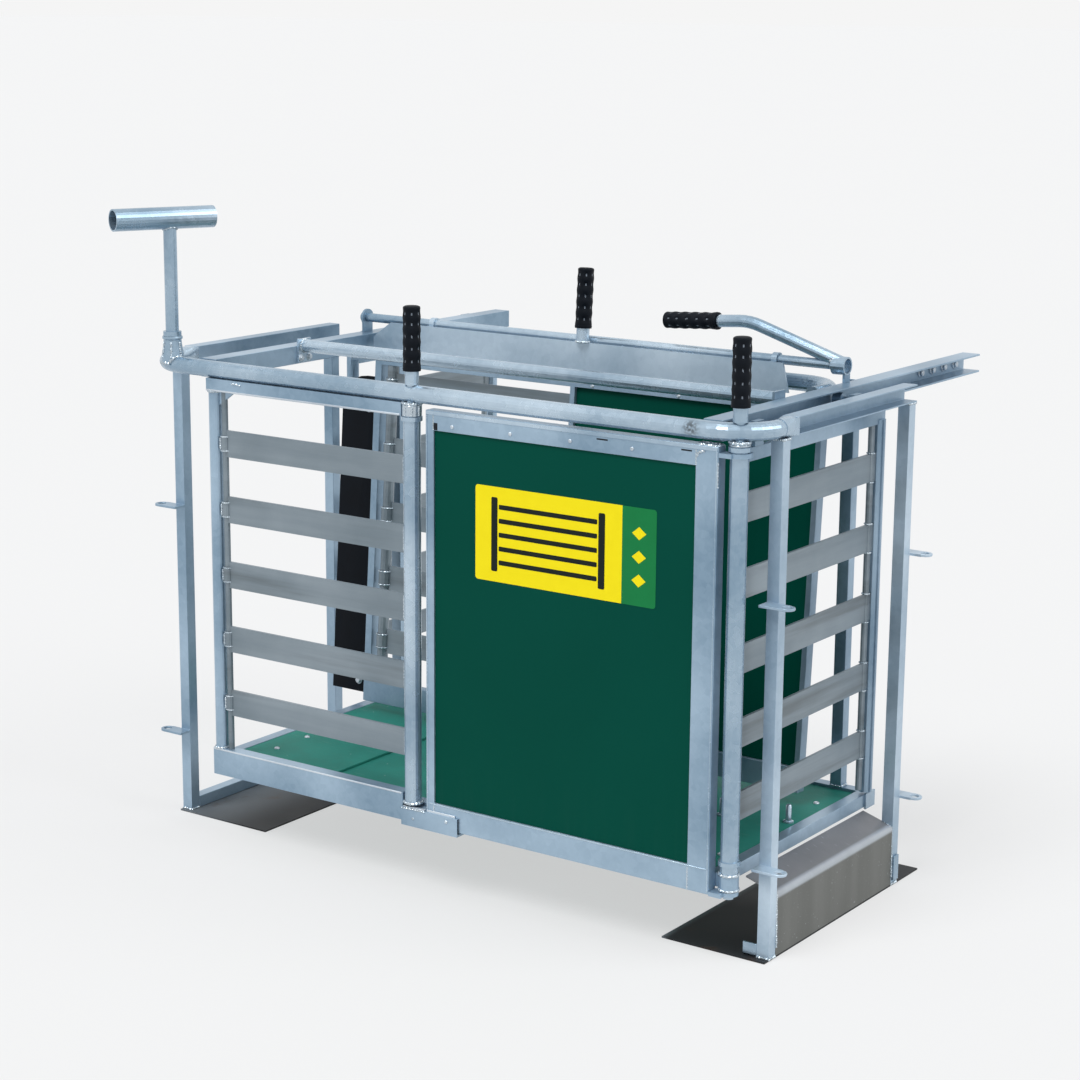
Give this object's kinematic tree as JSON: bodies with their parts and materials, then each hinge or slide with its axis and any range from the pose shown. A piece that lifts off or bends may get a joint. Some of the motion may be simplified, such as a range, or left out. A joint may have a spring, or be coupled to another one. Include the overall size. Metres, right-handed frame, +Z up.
{
  "type": "livestock weighing and sorting crate",
  "caption": "Tube-framed crate for sheep with sliding slatted end gates, a green side door locked by drop rods, a leaning inner wall on a shaft with a lever, and a T-shaped holder.",
  "frame": {"origin": "on the ground, midway between the entrance and exit portals and midway between their posts", "axes": "+X from the entrance to the exit, +Y from the door side to the inner wall, +Z up"},
  "size_m": [1.535, 1.2047, 1.3055],
  "materials": {
    "galvanised": "hot-dip galvanised, satin",
    "aluminium": "drawn, satin",
    "plate_steel": "rolled plate",
    "green": "smooth sheet",
    "floor_green": "matte coat",
    "rubber": "matte, ribbed"
  },
  "bodies": {
    "stand": {"beam_in": "galvanised", "beam_out": "galvanised", "bearing_in": "galvanised", "bearing_out": "galvanised", "cross_tube": "galvanised", "entrance_sill": "galvanised", "exit_step": "plate_steel", "floor_board_in": "floor_green", "floor_board_out": "floor_green", "floor_frame": "galvanised", "front_tube": "galvanised", "ground_plate_in": "plate_steel", "ground_plate_out": "plate_steel", "post_corner": "galvanised", "post_in_front": "galvanised", "post_in_rear": "galvanised", "post_mid": "galvanised", "post_out_front": "galvanised", "post_out_rear": "galvanised", "post_rear_in": "galvanised", "post_rear_out": "galvanised", "rail_in": "galvanised", "rail_out": "galvanised", "rear_tube": "galvanised", "side_frame": "galvanised", "side_slats": "aluminium", "socket": "galvanised"},
    "door": {"door_frame": "galvanised", "door_panel": "green", "door_bracket": "galvanised", "door_lug_low": "galvanised", "door_lug_top": "galvanised"},
    "gate_in": {"gate_in_frame": "galvanised", "gate_in_slats": "aluminium", "gate_in_hanger_front": "galvanised", "gate_in_hanger_rear": "galvanised"},
    "gate_out": {"gate_out_frame": "galvanised", "gate_out_slats": "aluminium", "gate_out_hanger_front": "galvanised", "gate_out_hanger_rear": "galvanised"},
    "rod_mid": {"rod_mid": "galvanised", "grip_mid": "rubber"},
    "rod_corner": {"rod_corner": "galvanised", "grip_corner": "rubber"},
    "lever": {"shaft": "galvanised", "lever_arm": "galvanised", "lever_grip": "rubber"},
    "wall": {"wall_plate": "galvanised", "wall_frame": "galvanised", "wall_panel": "green", "wall_slats": "aluminium", "wall_flap": "rubber", "wall_handle": "galvanised", "wall_grip": "rubber"},
    "holder": {"indicator_holder": "galvanised"}
  },
  "joints": [
    {"name": "door_swing", "type": "hinge", "parent": "stand", "child": "door", "pos_m": [0.6765, -0.3185, 0.55], "axis": [0, 0, 1], "range_deg": [0, 100]},
    {"name": "gate_in_slide", "type": "slide", "parent": "stand", "child": "gate_in", "axis": [0, 1, 0], "range_m": [-0.49, 0]},
    {"name": "gate_out_slide", "type": "slide", "parent": "stand", "child": "gate_out", "axis": [0, 1, 0], "range_m": [0, 0.49]},
    {"name": "rod_mid_lift", "type": "slide", "parent": "stand", "child": "rod_mid", "axis": [0, 0, 1], "range_m": [0, 0.06]},
    {"name": "rod_corner_lift", "type": "slide", "parent": "stand", "child": "rod_corner", "axis": [0, 0, 1], "range_m": [0, 0.06]},
    {"name": "lever_turn", "type": "hinge", "parent": "stand", "child": "lever", "pos_m": [0, 0.203, 1.0355], "axis": [1, 0, 0], "range_deg": [-60, 60]},
    {"name": "wall_swing", "type": "hinge", "parent": "stand", "child": "wall", "pos_m": [0, 0.203, 1.0355], "axis": [1, 0, 0], "range_deg": [-10, 7]},
    {"name": "holder_turn", "type": "hinge", "parent": "stand", "child": "holder", "pos_m": [-0.653, -0.3306, 1.1], "axis": [0, 0, 1], "range_deg": [-90, 90]}
  ]
}
